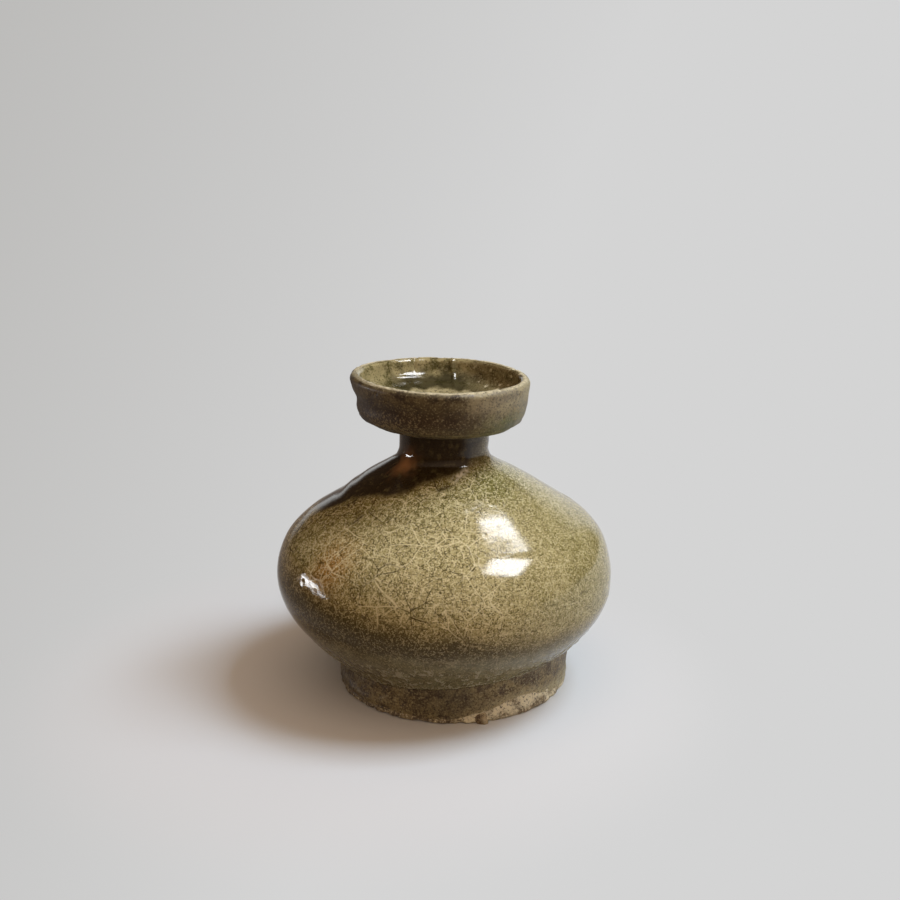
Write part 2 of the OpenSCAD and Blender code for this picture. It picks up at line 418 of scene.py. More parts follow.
# Sintered kiln grit: a brown crumb with pale and dark grains
gritLook = {
    "body": "#7a664a",
    "dark": "#463625",
    "pale": "#b9ab8c",
    "iron": "#20170e",
    "grain": 0.5,
    "cloud": 1.2,
    "rough": 0.65,
}


def grittyClay(name, look):
    tint = tints(look)
    material, add, place = startMaterial(name)
    grain = add("TexNoise", {"Vector": place, "Scale": 1 / look["grain"], "Detail": 3.0, "Roughness": 0.7})
    cloud = add("TexNoise", {"Vector": place, "Scale": 1 / look["cloud"], "Detail": 4.0, "Roughness": 0.6})
    worn, dim = (add("Attribute", out="Fac", attribute_name=kind) for kind in ("worn", "dim"))
    blotch = add("MapRange", {0: cloud, 1: 0.4, 2: 0.6}, **soft)
    tone = add("Mix", {0: blotch, 6: tint["dark"], 7: tint["body"]}, **rgba)
    pale = add("MapRange", {0: grain, 1: 0.52, 2: 0.64, 4: 0.75}, **soft)
    specks = add("MapRange", {0: grain, 1: 0.46, 2: 0.36, 4: 0.85}, **soft)
    for share, name in ((worn, "pale"), (pale, "pale"), (specks, "iron"), (dim, "iron")):
        tone = add("Mix", {0: share, 6: tone, 7: tint[name]}, **rgba)
    rough = add("MapRange", {0: grain, 1: 0.3, 2: 0.7, 3: look["rough"], 4: look["rough"] + 0.25})
    bump = add("Bump", {"Distance": 0.12 * millimetre, "Height": grain})
    shader = add("BsdfPrincipled", {"Base Color": tone, "Roughness": rough, "IOR": 1.5, "Normal": bump})
    add("OutputMaterial", {"Surface": shader})
    return material


bodyCeladon = crackledCeladon()
dishCeladon = wornCeladon()
footCeladon = grittyClay("starvedCeladon", starvedLook)
clay = grittyClay("firedStoneware", stonewareLook)
lutingSlip = grittyClay("lutingSlip", slipLook)
sinteredGrit = grittyClay("sinteredGrit", gritLook)
print("materials ready")


# Pieces
sharpFrom = 50  # degrees between two faces whose edge stays sharp


def spinSection(path, steps, skin=0, closed=True):  # turns a half section, whose first skin points show
    shape = bmesh.new()
    shown, along = (shape.verts.layers.float.new(name) for name in ("shown", "along"))
    verts = []
    for i, point in enumerate(path):
        vert = shape.verts.new((point.x, 0, point.y))
        vert[shown] = 1 if i < skin else 0
        vert[along] = i / max(1, skin - 1)
        verts.append(vert)
    for near, far in zip(verts, verts[1:]):
        shape.edges.new((near, far))
    if closed:
        shape.edges.new((verts[-1], verts[0]))
    bmesh.ops.spin(shape, geom=shape.verts[:] + shape.edges[:], cent=(0, 0, 0), axis=(0, 0, 1),
                   angle=math.tau, steps=steps, use_merge=True)
    bmesh.ops.remove_doubles(shape, verts=shape.verts[:], dist=1e-5)
    bmesh.ops.recalc_face_normals(shape, faces=shape.faces[:])
    return shape


def finishPiece(shape, name, material, node):
    for vert in shape.verts:
        vert.co = lean(vert.co) * millimetre
    bmesh.ops.recalc_face_normals(shape, faces=shape.faces[:])
    mesh = bpy.data.meshes.new(name)
    shape.to_mesh(mesh)
    shape.free()
    mesh.shade_smooth()
    mesh.set_sharp_from_angle(angle=math.radians(sharpFrom))
    mesh.materials.append(material)
    piece = bpy.data.objects.new(name, mesh)
    bpy.context.collection.objects.link(piece)
    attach(piece, "root")
    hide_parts(node)
    print(name, len(mesh.polygons), "faces")


# Clay sections and the slip between them, under the glaze
clayForm = {"steps": 128, "gap": 1.5}


def lowerBowl():
    gap, base, floor = clayForm["gap"], bodyForm["baseHeight"], bodyForm["floorHeight"]
    path = [Vector((0, base)), Vector((flankRadius(bellyAt(0), lowerNormal, base), base))]
    path += arc(bellyCore, bellyAt(0), lowerNormal, seamAngle(bellyAt(0), 0), gap)
    path += arc(bellyCore, innerRound, seamAngle(innerRound, 0), lowerNormal, gap)
    path += [Vector((flankRadius(innerRound, lowerNormal, floor), floor)), Vector((0, floor))]
    return spinSection(evenly(path, gap), clayForm["steps"], closed=False)


def bellySlip():
    gap = clayForm["gap"]
    path = arc(bellyCore, bellyAt(0), seamAngle(bellyAt(0), 0), seamAngle(bellyAt(0), slip), gap)
    path += arc(bellyCore, innerRound, seamAngle(innerRound, slip), seamAngle(innerRound, 0), gap)
    return spinSection(path, clayForm["steps"])


def shoulderWall():
    gap = clayForm["gap"]
    path = arc(bellyCore, bellyAt(0), seamAngle(bellyAt(0), slip), shoulderNormal, gap)
    path.append(Vector((neckForm["skirt"], neckSeat)))
    path.append(Vector((flankRadius(innerRound, shoulderNormal, neckSeat), neckSeat)))
    path += arc(bellyCore, innerRound, shoulderNormal, seamAngle(innerRound, slip), gap)
    return spinSection(evenly(path, gap), clayForm["steps"])


def neckSlip():
    corners = ((bellyAt(0), neckSeat), (bellyAt(0), neckFoot), (innerRound, neckFoot), (innerRound, neckSeat))
    path = [Vector((flankRadius(curve, shoulderNormal, height), height)) for curve, height in corners]
    return spinSection(path, clayForm["steps"])


def slantTop(shape, top):  # the neck's end is cut on the slant that the dish sits at
    for vert in shape.verts:
        above = max(0, vert.co.z - hollowCore.y) / (top - hollowCore.y)
        vert.co.z -= above * vert.co.x * math.tan(math.radians(mouthForm["tilt"]))


def neckWall():
    path = [Vector((flankRadius(bellyAt(0), shoulderNormal, neckFoot), neckFoot))]
    path += arc(hollowCore, neckForm["hollow"], 180 + shoulderNormal, 180, clayForm["gap"])
    corners = (("radius", neckTop), ("bore", neckTop), ("bore", neckFoot))
    path += [Vector((neckForm[side], height)) for side, height in corners]
    shape = spinSection(evenly(path, clayForm["gap"]), clayForm["steps"])
    slantTop(shape, neckTop)
    return shape


def onSeat(rise):
    tilt = Matrix.Rotation(math.radians(mouthForm["tilt"]), 4, "Y")
    return Matrix.Translation((0, 0, neckTop)) @ tilt @ Matrix.Translation((0, 0, rise))


def mouthSlip():
    corners = (("radius", 0), ("radius", slip), ("bore", slip), ("bore", 0))
    shape = spinSection([Vector((neckForm[side], rise)) for side, rise in corners], clayForm["steps"])
    bmesh.ops.transform(shape, matrix=onSeat(0), verts=shape.verts[:])
    return shape


# Dish: sloping underside, rounded corner, flaring wall and rolled lip, measured from its own seat
dishForm = {
    "steps": 420,
    "gap": 0.34,
    "left": [(0, 0), (4, -0.1), (7, -0.35), (10, 0.3), (13, 0.5)],
    "right": [(0, 0.5), (1, 0.5), (3, -0.2), (7, -0.1), (10, -0.25), (13, -0.3)],
    "ridgesAt": [1.5, 2.9],  # heights of the lines round the corner
    "ridge": 0.24,
    "runAt": 2.6,  # across the back wall, where a run of glaze stands out inside
    "run": 0.4,
    "foldAt": -7.2,  # and where a fold goes in
    "fold": 0.3,
    "pit": 0.25,
    "notch": 0.25,  # worn into the rim
    "waver": 0.18,  # ups and downs of the rim
    "pinchSide": 195,  # bearings of the lip's thick end, and of the green and the silted patches
    "pinch": 0.25,
    "greenSide": 318,
    "siltSide": 235,
}
underNormal, wallNormal = mouthForm["underSlope"] - 90, -mouthForm["flare"]
dishSeat = neckForm["radius"] + glaze + mouthForm["shift"]
dishHole = neckForm["bore"] + mouthForm["shift"] + mouthForm["clearance"]
lipRound = mouthForm["wall"] / 2
lipCore = Vector((mouthForm["radius"] - lipRound, mouthForm["height"] - lipRound))
underLine = Vector((dishSeat, 0)).dot(facing(underNormal))
wallLine = lipCore.dot(facing(wallNormal)) + lipRound


def cornerCore(curve, under, wall):  # centre of the arc that touches two lines from inside
    first, second = facing(underNormal), facing(wallNormal)
    d1, d2 = under - curve, wall - curve
    turn = first.x * second.y - first.y * second.x
    return Vector((d1 * second.y - d2 * first.y, d2 * first.x - d1 * second.x)) / turn


def dishPath(grow, gap):
    corner = cornerCore(mouthForm["cornerRound"], underLine, wallLine)
    well = cornerCore(mouthForm["wellRound"], underLine - mouthForm["floor"], wallLine - mouthForm["wall"])
    slope = math.tan(math.radians(mouthForm["underSlope"]))
    start = corner + (mouthForm["cornerRound"] + grow) * facing(underNormal)
    end = well + (mouthForm["wellRound"] - grow) * facing(underNormal)
    path = [Vector((start.x - start.y / slope, 0))]
    path += arc(corner, mouthForm["cornerRound"] + grow, underNormal, wallNormal, gap)
    path += arc(lipCore, lipRound + grow, wallNormal, 180 + wallNormal, gap)
    path += arc(well, mouthForm["wellRound"] - grow, wallNormal, underNormal, gap)
    path.append(Vector((dishHole, end.y - (end.x - dishHole) * slope)))
    return evenly(path, gap)


def placeDish(shape):
    for vert in shape.verts:
        outward = Vector((vert.co.x, vert.co.y, 0)).normalized()
        share = (1 + outward.x) / 2
        left, right = (between(dishForm[side], vert.co.z) for side in ("left", "right"))
        vert.co += outward * ((1 - share) * left + share * right)
    place = onSeat(slip) @ Matrix.Translation((-mouthForm["shift"], 0, 0))
    bmesh.ops.transform(shape, matrix=place, verts=shape.verts[:])


def mouthDish():
    shape = spinSection([Vector((dishHole, 0))] + dishPath(0, clayForm["gap"]), clayForm["steps"])
    placeDish(shape)
    return shape


def dishGlaze():
    form = dishForm
    outer = dishPath(glaze, form["gap"])
    shape = spinSection(outer + dishPath(0, 1.5)[::-1], form["steps"], skin=len(outer))
    shape.normal_update()
    layers = shape.verts.layers.float
    shown, along = layers["shown"], layers["along"]
    zone = {name: layers.new(name) for name in wornZones}
    lipAt = max(range(len(outer)), key=lambda i: outer[i].y)
    for vert in shape.verts:
        if vert[shown] < 0.5:
            continue
        place = vert.co.copy()
        pastLip = (vert[along] * (len(outer) - 1) - lipAt) * form["gap"]
        bearing = math.degrees(math.atan2(place.y, place.x)) % 360
        reach = math.hypot(place.x, place.y)
        rim = 1 - ease(0.45, 0.75, abs(pastLip + 0.15) + 0.25 * wobble(place, 1.6, 1))
        pinch = hump(bearing - form["pinchSide"], 20)
        vert[zone["inner"]] = ease(0.2, 1.0, pastLip)
        vert[zone["worn"]] = rim * (0.6 + 0.4 * ease(-0.4, 0.3, wobble(place, 1.0, 5))) * (1 - 0.6 * pinch)
        depth = 0.1 * wobble(place, 5, 6) + 0.05 * wobble(place, 1.7, 7)
        if pastLip > 0.6:  # inside the dish
            depth *= 1 - 0.75 * ease(0.6, 2, pastLip)
            back = ease(0, 6, place.y)
            chips = ease(0.42, 0.6, wobble(place, 1.2, 4)) * ease(4, 12, place.x)
            vert[zone["worn"]] = max(vert[zone["worn"]], 0.8 * chips)
            # brown on the inner right wall, partly a stain and partly painted shade, as that wall faces away
            # from the light
            vert[zone["stainAndShade"]] = 0.5 * ease(3, 11, place.x + 3 * wobble(place, 4, 2))
            ragged = reach + 1.5 * wobble(place, 3, 3)
            vert[zone["silt"]] = ease(14.8, 13, ragged)
            # darker in a ring round the back of the well's floor, towards the foot of its wall
            backRing = ease(20, 18, reach + wobble(place, 2, 14)) * ease(13, 14.5, ragged)
            vert[zone["wellBackDark"]] = 0.88 * backRing * back * ease(-19, -9, place.x) * ease(14, 4, place.x)
            run = form["runAt"] + 0.5 * wobble(place, 2.5, 10) + 0.12 * (mouthForm["height"] - place.z)
            depth += form["run"] * hump(place.x - run, 0.45) * back * ease(5, 8, place.z)
            depth -= form["fold"] * hump(place.x - form["foldAt"], 0.5) * back * ease(9, 11, place.z)
        else:
            # painted shade: the outside is brown at the left, away from the light, most on the underside and
            # round the middle of the wall, partly a stain too
            band = max(0.4 + 0.55 * hump(place.z - 6.3, 3.5), ease(1.6, 0.8, place.z))
            patch = ease(8, 4, place.z + 1.5 * wobble(place, 3, 12))
            # painted light: the upper outer wall is paler at the right, which faces the light, partly as
            # rubbed wear
            rubbedAndLit = ease(4, 9, place.x) * ease(6, 10, place.z + 2 * wobble(place, 4, 15))
            vert[zone["worn"]] = max(vert[zone["worn"]], 0.33 * rubbedAndLit)
            vert[zone["stainAndShade"]] = 0.95 * band * ease(14, 2, place.x + 4 * wobble(place, 5, 6))
            vert[zone["green"]] = 0.7 * hump(bearing - form["greenSide"], 22) * patch
            groove = hump(place.z - sum(form["ridgesAt"]) / 2, 0.3)  # dust lies between the ridges
            groove *= ease(-0.4, 0.1, wobble(place, 2.5, 16))
            vert[zone["silt"]] = max(0.7 * hump(bearing - form["siltSide"], 25) * patch, groove)
            depth += sum(form["ridge"] * hump(place.z - height, 0.3) for height in form["ridgesAt"])
            depth -= form["pit"] * ease(0.55, 0.75, wobble(place, 1.2, 8))
            depth += form["pinch"] * pinch * (ease(9, 12, place.z) - hump(place.z - 7, 2))
        depth -= form["notch"] * rim * ease(0.1, 0.5, wobble(place, 2.2, 9))
        vert.co += vert.normal * depth
        vert.co.z += rim * form["waver"] * wobble(place, 9, 11)
    placeDish(shape)
    return shape


# Glaze over the body and the neck
coatForm = {
    "steps": 460,
    "gap": 0.5,
    "slant": 0.18,  # the glaze ran lower at the right
    "smoothBelow": (32, 24),  # heights over which it loses its net,
    "underShadeBelow": (32, 25.5),  # takes painted shade,
    "ashBelow": (24, 20),  # turns paler and greyer
    "crustBelow": (21, 16),  # and sandy
    "moss": (12.5, -14, 55),  # places of the moss stain, of the painted warm reflection and of the amber patch
    "warmReflection": (-27, -28.5, 40),
    "amber": (-9.7, -7.9, 59.3),
    "stainSize": 6,
    "amberSize": 2.7,
    "ringGap": 3.3,  # spacing of the throwing rings
    "ring": 0.004,
    "crust": 0.2,
    "pit": 0.2,
    "runSide": 175,  # dark brown comes down from the neck at this bearing: brown glaze on the neck, and painted shadow of the dish over the left shoulder
    "run": [  # degrees to either side of that, and the radius that it reaches there
        (12, 33), (28, 25), (50, 21.8), (62, 19.4), (78, 17), (95, 15.4), (112, 13.6), (132, 11.8),
    ],
    "gouges": [
        ((-22.4, -19.4, 47.8), (-20, -18.3, 49.4)),
        ((31.5, 9, 46), (33, 10.5, 45)),
        ((-1.4, -17.8, 55.9), (1, -17, 56.4)),
    ],
    "gouge": 0.3,
    "scratchesAndGlint": [  # start, end and width
        ((5.2, -22.5, 52.4), (7.8, -21.3, 52.9), 0.25),
        ((7.8, -21.3, 52.9), (10.5, -18.9, 53.6), 0.25),
        # painted glint: this wide pale mark stands in for a sparkle of light
        ((5.6, -11.6, 58.8), (2.4, -15, 57.3), 0.7),
    ],
}


def offLine(point, line):  # distance of a point from a short straight mark
    start, stop = Vector(line[0]), Vector(line[1])
    run = stop - start
    share = min(1, max(0, (point - start).dot(run) / run.length_squared))
    return (point - start - share * run).length


def creaseRadius(angle):  # from the belly's axis to the foot's outer face, where the lower flank meets it
    middle = underside(footForm["radius"], 0)
    radius = footForm["radius"] + middle * math.tan(math.radians(footForm["flare"]))
    across = footForm["shift"] * math.sin(angle)
    return footForm["shift"] * math.cos(angle) + math.sqrt(radius ** 2 - across ** 2)


def outerBody(grow, gap, top):
    base = bodyForm["baseHeight"] - grow
    path = [Vector((flankRadius(bellyAt(grow), lowerNormal, base), base))]
    path += arc(bellyCore, bellyAt(grow), lowerNormal, shoulderNormal, gap)
    path += arc(hollowCore, neckForm["hollow"] - grow, 180 + shoulderNormal, 180, gap)
    path.append(Vector((neckForm["radius"] + grow, top)))
    return evenly(path, gap)


def trimToFoot(shape):  # ends the lower flank on the foot, which stands off the axis
    shown = shape.verts.layers.float["shown"]
    for vert in shape.verts:
        grow = glaze if vert[shown] > 0.5 else 0
        touch = bellyCore + bellyAt(grow) * facing(lowerNormal)
        if vert.co.z < touch.y:
            angle = math.atan2(vert.co.y, vert.co.x)
            start = flankRadius(bellyAt(grow), lowerNormal, bodyForm["baseHeight"] - grow)
            up = (math.hypot(vert.co.x, vert.co.y) - start) / (touch.x - start)
            radius = creaseRadius(angle) * (1 - up) + touch.x * up
            height = flankHeight(bellyAt(grow), lowerNormal, radius)
            vert.co = (radius * math.cos(angle), radius * math.sin(angle), height)


def bodyGlaze():
    form = coatForm
    top = neckTop + slip
    outer = outerBody(glaze, form["gap"], top)
    shape = spinSection(outer + outerBody(0, 2.5, top)[::-1], form["steps"], skin=len(outer))
    trimToFoot(shape)
    shape.normal_update()
    layers = shape.verts.layers.float
    shown, along = layers["shown"], layers["along"]
    zone = {name: layers.new(name) for name in celadonZones}
    stainAt = {name: Vector(form[name]) for name in ("moss", "warmReflection", "amber")}
    for vert in shape.verts:
        if vert[shown] < 0.5:
            continue
        place = vert.co.copy()
        cloud = wobble(place, 7, 2)
        edge = ease(0, 0.03, vert[along])
        sunk = place.z + 2.2 * cloud + form["slant"] * place.x
        under = ease(*form["smoothBelow"], sunk)
        low = ease(*form["crustBelow"], place.z + 2.5 * wobble(place, 5, 11))
        around = Vector((place.x, place.y, 0)).normalized() * celadonLook["beadRadius"]
        around.z = celadonLook["beadRise"] * place.z
        beads = ease(-0.1, 0.5, wobble(around, 1.1, 12) + 0.7 * wobble(around, 3, 13))
        bearing = math.degrees(math.atan2(place.y, place.x)) % 360
        run = between(form["run"], abs(bearing - form["runSide"])) - 1.5 * cloud
        # painted shadow: the brown spreads down the left shoulder where the dish casts its shadow; round the
        # neck it is brown glaze
        brownAndShadow = ease(run + 1.4, run - 1.4, math.hypot(place.x, place.y)) * ease(38, 44, place.z)
        gouge = max(hump(offLine(place, line), 0.55) for line in form["gouges"])
        scratchAndGlint = max(hump(offLine(place, line), line[2]) for line in form["scratchesAndGlint"])
        vert[zone["crazed"]] = (1 - 0.7 * under) * (1 - brownAndShadow) * (1 - 0.6 * ease(4, 22, place.x + 5 * cloud))
        vert[zone["speckled"]] = (1 - 0.5 * under) * (1 - 0.6 * brownAndShadow) * (1 - 0.35 * ease(12, 28, place.x))
        below = math.hypot(place.x, place.y) - run
        # partly a paler wash of the glaze, partly painted shade: it thins towards both sides, most at the
        # left, away from the light, and in a halo below the brown, as painted shadow of the dish
        washAndShade = ease(-46, -2, place.x) - 0.65 * ease(10, 34, place.x)
        vert[zone["washAndShade"]] = washAndShade - 0.8 * ease(14, 2, below)
        # painted shade below the belly's widest point, where it faces down, darker at the left
        vert[zone["underShade"]] = (0.97 - 0.2 * ease(5, 25, place.x)) * ease(*form["underShadeBelow"], sunk)
        lowest = ease(0.026, 0.016, vert[along] + 0.006 * wobble(place, 2, 22))  # in the shade of the crease
        ash = ease(*form["ashBelow"], place.z + 1.5 * cloud) * (0.6 + 0.35 * wobble(place, 2.4, 18))
        vert[zone["ash"]] = ash * (1 - 0.8 * lowest)
        far = {name: (place - spot).length for name, spot in stainAt.items()}
        # the moss is a stain in the glass; the warm patch is a painted reflection of something warm at the
        # left
        for name in ("moss", "warmReflection"):
            vert[zone[name]] = 0.6 * hump(far[name], form["stainSize"] + 2 * cloud)
        vert[zone["amber"]] = 0.95 * hump(far["amber"], form["amberSize"] + wobble(place, 1.5, 23))
        thin = ease(0.1, 0.5, wobble(place, 1.3, 20))
        vert[zone["brownAndShadow"]] = max((0.94 - 0.15 * thin) * brownAndShadow, 0.8 * gouge)
        seam = hump(vert[along] - 0.034 + 0.006 * wobble(place, 3, 19), 0.009)  # sand caught over the crease
        sand = low * beads * (1 - lowest) * (0.55 + 0.45 * ease(14, -10, place.x))
        vert[zone["crust"]] = max(sand, 0.7 * seam)
        # pale scratches, with the painted glint among them
        vert[zone["scrapeAndGlint"]] = 0.9 * scratchAndGlint * ease(-0.3, 0.2, wobble(place, 0.8, 21))
        depth = form["ring"] * math.sin(place.z * math.tau / form["ringGap"] + wobble(place, 20, 14))
        depth += 0.03 * wobble(place, 11, 15) + 0.004 * wobble(place, 2.3, 16) - form["gouge"] * gouge
        raised = form["crust"] * low * beads * edge
        depth += raised - form["pit"] * edge * ease(0.66, 0.8, wobble(place, 1.5, 17))
        vert.co += vert.normal * depth
    slantTop(shape, top)
    return shape


# Foot: turned apart, stuck on a little off the axis and cut to the body's underside
footFinish = {
    "steps": 420,
    "gap": 0.45,
    "nominal": 10,
    "rough": 0.3,
    "chip": 0.3,
    "bareSide": (0.55, -0.83, 0),  # the way to where the glaze stops highest
    "bareRise": 3.8,
    "bareSpread": 0.38,
}


def standFoot(shape, bottom, grow, coat):  # stretches a ring of nominal height up to the body
    slope = math.tan(math.radians(footForm["flare"]))
    shown = shape.verts.layers.float["shown"]
    start = footForm["bare"] if coat else 0
    for vert in shape.verts:
        height, radius = vert.co.z, math.hypot(vert.co.x, vert.co.y)
        outward = Vector((vert.co.x, vert.co.y, 0)).normalized()
        low = bottom(outward)
        up = (height - start) / (footFinish["nominal"] - start)
        for _ in range(3):
            seat = underside((outward * radius + Vector((footForm["shift"], 0, 0))).length, grow)
            vert.co.z = low + up * (seat - low) if height > footForm["edge"] else height
            if coat or (vert[shown] > 0.5 and height > footForm["edge"]):
                radius = footForm["radius"] + (glaze if coat and vert[shown] > 0.5 else 0) + vert.co.z * slope
        vert.co.x, vert.co.y = outward.x * radius + footForm["shift"], outward.y * radius


def bareHeight(outward):  # the glaze stops short of the table, highest at the right of the front
    away = (outward - Vector(footFinish["bareSide"])).length
    reach = footFinish["bareRise"] * hump(away, footFinish["bareSpread"])
    around = outward * footForm["radius"]
    return footForm["bare"] / 2 + reach + 0.5 * wobble(around, 7, 27) + 0.35 * wobble(around, 2, 28)


def footRing():
    nominal, slope = footFinish["nominal"], math.tan(math.radians(footForm["flare"]))
    edge, outer, inner = footForm["edge"], footForm["radius"], footForm["radius"] - footForm["wall"]
    face = evenly([Vector((outer - edge, 0)), Vector((outer + edge * slope, edge)),
                   Vector((outer + nominal * slope, nominal))], footFinish["gap"])
    rest = evenly([face[-1], Vector((inner, nominal)), Vector((inner, 0)), face[0]], 1)[1:-1]
    shape = spinSection(face + rest, footFinish["steps"], skin=len(face))
    standFoot(shape, lambda outward: 0, slip, False)
    shape.normal_update()
    layers = shape.verts.layers.float
    shown, worn = layers["shown"], layers.new("worn")
    for vert in shape.verts:
        place = vert.co.copy()
        right = ease(-4, 8, place.x + 5 * wobble(place, 7, 22))
        vert[worn] = 0.1 + 0.8 * right * ease(-0.5, 0.2, wobble(place, 3, 21))
        if vert[shown] > 0.5 and place.z < 5.5:
            bare = 1 - ease(4.5, 5.5, place.z)
            chip = footFinish["chip"] * ease(2, 0.3, place.z) * ease(0.05, 0.5, wobble(place, 2.6, 28))
            depth = 0.22 * wobble(place, 2.2, 23) + 0.1 * wobble(place, 1, 24) - chip
            vert.co += vert.normal * bare * depth
            vert.co.z = max(0, vert.co.z)
    return shape


def footSlip():
    inner = footForm["radius"] - footForm["wall"]
    upper = evenly([Vector((footForm["radius"], 1)), Vector((inner, 1))], 1)
    lower = [Vector((point.x, 0)) for point in upper[::-1]]
    shape = spinSection(upper + lower, clayForm["steps"])
    for vert in shape.verts:
        vert.co.x += footForm["shift"]
        vert.co.z = underside(math.hypot(vert.co.x, vert.co.y), 0 if vert.co.z > 0.5 else slip)
    return shape


def footGlaze():
    reach = [Vector((footForm["radius"], height)) for height in (footForm["bare"], footFinish["nominal"])]
    outer = evenly([point + Vector((glaze, 0)) for point in reach], footFinish["gap"])
    shape = spinSection(outer + evenly(reach[::-1], 1.5), footFinish["steps"], skin=len(outer))
    standFoot(shape, bareHeight, glaze, True)
    shape.normal_update()
    layers = shape.verts.layers.float
    shown, along = layers["shown"], layers["along"]
    worn, dim = layers.new("worn"), layers.new("dim")
    for vert in shape.verts:
        place = vert.co.copy()
        right = ease(0, 14, place.x + 5 * wobble(place, 8, 22))
        vert[dim] = 0.42 * hump(place.x - 1 + 5 * wobble(place, 4, 29), 8)
        faded = ease(0.45, 0.05, vert[along] + 0.15 * wobble(place, 1.5, 30))  # thins out towards its edge
        vert[worn] = right * max(0.38 * ease(7, 3.5, place.z + 2 * wobble(place, 5, 24)), 0.75 * faded)
        if vert[shown] > 0.5:
            depth = footFinish["rough"] * (0.6 * wobble(place, 3.2, 25) + 0.5 * wobble(place, 1.3, 26))
            depth -= 0.32 * ease(0.3, 0, vert[along])
            vert.co += vert.normal * depth * ease(1, 0.93, vert[along])
    return shape


# One crumb of kiln grit fired onto the foot's edge
gritForm = {"diameter": 3.2, "bearing": 283, "stretch": (1.15, 0.9, 1.25), "lump": 1.4, "sunk": 0.5}


def kilnGrit():
    shape = bmesh.new()
    bmesh.ops.create_icosphere(shape, subdivisions=4, radius=gritForm["diameter"] / 2)
    turn = math.radians(gritForm["bearing"])
    outward = Vector((math.cos(turn), math.sin(turn), 0))
    middle = outward * (footForm["radius"] - gritForm["sunk"])
    middle += Vector((footForm["shift"], 0, gritForm["diameter"] / 3))
    worn = shape.verts.layers.float.new("worn")
    for vert in shape.verts:
        vert[worn] = 0.8 * ease(-0.4, 0.6, vert.co.x + wobble(vert.co, 1, 33))
        vert.co *= 0.9 + 0.4 * wobble(vert.co, gritForm["lump"], 31) + 0.14 * wobble(vert.co, 0.5, 32)
        vert.co = vert.co * Vector(gritForm["stretch"]) + middle
        vert.co.z = max(0, vert.co.z)
    return shape


finishPiece(lowerBowl(), "bowlClay", clay, "lower_bowl")
finishPiece(bellySlip(), "bellyJoint", lutingSlip, "belly_slip")
finishPiece(shoulderWall(), "shoulderClay", clay, "shoulder")
finishPiece(neckSlip(), "neckJoint", lutingSlip, "neck_slip")
finishPiece(neckWall(), "neckClay", clay, "neck")
finishPiece(mouthSlip(), "mouthJoint", lutingSlip, "mouth_slip")
finishPiece(mouthDish(), "dishClay", clay, "mouth_dish")
finishPiece(footRing(), "footClay", clay, "foot_ring")
finishPiece(footSlip(), "footJoint", lutingSlip, "foot_slip")
finishPiece(bodyGlaze(), "bodyCoat", bodyCeladon, "body_glaze")
finishPiece(dishGlaze(), "dishCoat", dishCeladon, "mouth_glaze")
finishPiece(footGlaze(), "footCoat", footCeladon, "foot_glaze")
finishPiece(kilnGrit(), "gritCrumb", sinteredGrit, "kiln_grit")


# Stage: one sheet of pale paper that fades into the same grey behind
stageForm = {
    "radius": 4,
    "sides": 96,
    "middle": (-0.02, -0.005, 0),  # within near of this point the paper takes the shadow
    "near": 0.05,
    "far": 0.1,  # and beyond far it shows the grey
    "paper": "#d9dbde",
    "left": "#bab9b7",
    "right": "#d4d4d4",
    "spread": (-0.4, 0.12),  # bearings between which the grey lightens
    "rise": 0.4,
    "seenFrom": (0, -0.3, 0.145),  # about the place of the camera
    "frontSide": (0.5, 1, 0),
    "edge": (0.05, -0.12),  # to the front the paper gives little light back
    "aside": (-0.03, -0.1),  # and to the left little of it shows in the gloss
    "asideShare": 0.8,
    "table": "#705e4d",
}


def backdropTone(add, bearing):
    across, height = (add("SeparateXYZ", {0: bearing}, out=axis) for axis in ("X", "Z"))
    side = add("Math", {0: height, 1: -stageForm["rise"], 2: across}, operation="MULTIPLY_ADD")
    along = add("MapRange", {0: side, 1: stageForm["spread"][0], 2: stageForm["spread"][1]})
    tint = tints(stageForm)
    return add("Mix", {0: along, 6: tint["left"], 7: tint["right"]}, **rgba)


